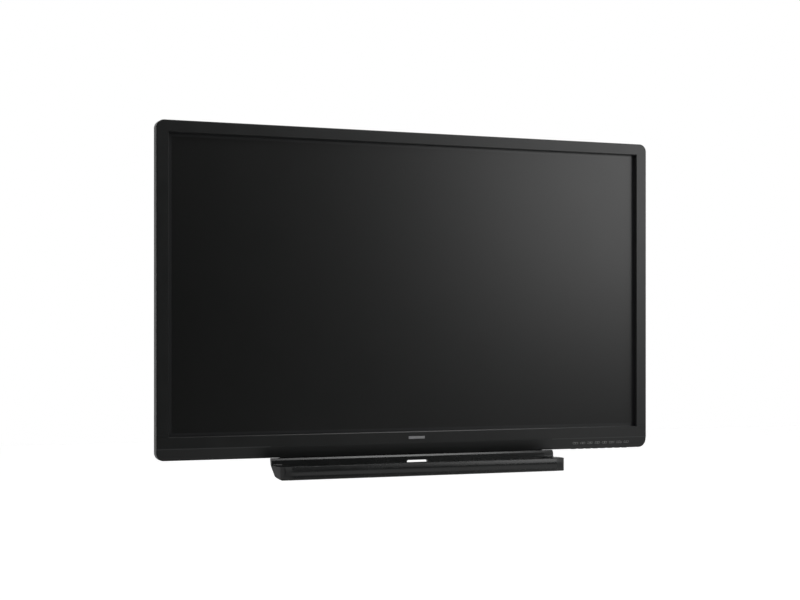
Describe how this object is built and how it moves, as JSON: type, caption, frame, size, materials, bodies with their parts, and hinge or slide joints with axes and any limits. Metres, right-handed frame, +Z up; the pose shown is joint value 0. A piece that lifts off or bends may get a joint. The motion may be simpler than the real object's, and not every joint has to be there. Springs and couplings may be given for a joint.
{
  "type": "interactive display",
  "caption": "Large flat touch display in a black bezel with a hollow pen tray under it, push keys on its underside, a stepped rear cover and a wall mounting pattern.",
  "frame": {"origin": "centre of the four wall mounting bosses, on the plane that meets the wall plate", "axes": "+X to the viewer's right, -Y out of the screen towards the viewer, +Z up"},
  "size_m": [1.64, 0.214, 1.0555],
  "materials": {
    "bezel_plastic": "fine satin black moulding",
    "plate_metal": "satin grey",
    "touch_filter": "smooth dark filter",
    "circuit_board": "green solder mask",
    "screen_glass": "etched anti-glare",
    "gasket_rubber": "matte foam",
    "plated_steel": "zinc plated sheet",
    "cell_glass": "smooth",
    "white_plastic": "matte white",
    "light_guide": "clear acrylic",
    "led_bar_metal": "bare strip",
    "mount_steel": "turned steel",
    "standoff_brass": "turned brass",
    "speaker_plastic": "matte black",
    "socket_shell": "nickel plated",
    "terminal_plastic": "fine black",
    "rocker_plastic": "satin black",
    "key_plastic": "satin black",
    "cover_plastic": "fine textured black moulding",
    "black_screw": "blackened steel",
    "handle_plastic": "textured black",
    "tray_plastic": "fine satin black moulding",
    "bracket_steel": "black powder coat"
  },
  "bodies": {
    "display": {"front_frame_upper": "bezel_plastic", "front_frame_lower": "bezel_plastic", "name_plate": "plate_metal", "touch_filter_top": "touch_filter", "touch_board_top": "circuit_board", "touch_filter_bottom": "touch_filter", "touch_board_bottom": "circuit_board", "touch_filter_left": "touch_filter", "touch_board_left": "circuit_board", "touch_filter_right": "touch_filter", "touch_board_right": "circuit_board", "protective_glass": "screen_glass", "glass_gasket": "gasket_rubber", "module_front_frame": "plated_steel", "lcd_cell": "cell_glass", "mid_frame": "white_plastic", "optical_sheets": "white_plastic", "light_guide_plate": "light_guide", "reflector_sheet": "white_plastic", "led_bar_left": "led_bar_metal", "led_bar_right": "led_bar_metal", "panel_chassis": "plated_steel", "mount_rail_left": "plated_steel", "mount_rail_right": "plated_steel", "mount_bosses": "mount_steel", "cross_brace_upper": "plated_steel", "cross_brace_lower": "plated_steel", "power_board": "circuit_board", "main_board": "circuit_board", "touch_control_board": "circuit_board", "timing_board": "circuit_board", "board_standoffs": "standoff_brass", "speaker_left": "speaker_plastic", "speaker_right": "speaker_plastic", "terminal_plate": "plated_steel", "video_sockets": "socket_shell", "data_sockets": "socket_shell", "audio_sockets": "terminal_plastic", "ac_inlet": "terminal_plastic", "switch_housing": "terminal_plastic", "key_board": "circuit_board", "rear_cover": "cover_plastic", "cover_screws": "black_screw", "handle_left": "handle_plastic", "handle_right": "handle_plastic", "pen_tray": "tray_plastic", "tray_end_left": "tray_plastic", "tray_end_right": "tray_plastic", "tray_brackets": "bracket_steel", "tray_screws": "black_screw"},
    "power_key": {"key_power": "key_plastic"},
    "menu_key": {"key_menu": "key_plastic"},
    "enter_key": {"key_enter": "key_plastic"},
    "input_key": {"key_input": "key_plastic"},
    "up_key": {"key_up": "key_plastic"},
    "down_key": {"key_down": "key_plastic"},
    "left_key": {"key_left": "key_plastic"},
    "right_key": {"key_right": "key_plastic"},
    "rocker": {"switch_rocker": "rocker_plastic"}
  },
  "joints": [
    {"name": "power_key_press", "type": "slide", "parent": "display", "child": "power_key", "axis": [0, 0, 1], "range_m": [0, 0.001], "stiffness_N_per_m": 500, "springref_m": -0.001},
    {"name": "menu_key_press", "type": "slide", "parent": "display", "child": "menu_key", "axis": [0, 0, 1], "range_m": [0, 0.001], "stiffness_N_per_m": 500, "springref_m": -0.001},
    {"name": "enter_key_press", "type": "slide", "parent": "display", "child": "enter_key", "axis": [0, 0, 1], "range_m": [0, 0.001], "stiffness_N_per_m": 500, "springref_m": -0.001},
    {"name": "input_key_press", "type": "slide", "parent": "display", "child": "input_key", "axis": [0, 0, 1], "range_m": [0, 0.001], "stiffness_N_per_m": 500, "springref_m": -0.001},
    {"name": "up_key_press", "type": "slide", "parent": "display", "child": "up_key", "axis": [0, 0, 1], "range_m": [0, 0.001], "stiffness_N_per_m": 500, "springref_m": -0.001},
    {"name": "down_key_press", "type": "slide", "parent": "display", "child": "down_key", "axis": [0, 0, 1], "range_m": [0, 0.001], "stiffness_N_per_m": 500, "springref_m": -0.001},
    {"name": "left_key_press", "type": "slide", "parent": "display", "child": "left_key", "axis": [0, 0, 1], "range_m": [0, 0.001], "stiffness_N_per_m": 500, "springref_m": -0.001},
    {"name": "right_key_press", "type": "slide", "parent": "display", "child": "right_key", "axis": [0, 0, 1], "range_m": [0, 0.001], "stiffness_N_per_m": 500, "springref_m": -0.001},
    {"name": "mains_rocker_tilt", "type": "hinge", "parent": "display", "child": "rocker", "pos_m": [-0.35, -0.029, -0.316], "axis": [0, 1, 0], "range_deg": [-14, 0]}
  ]
}
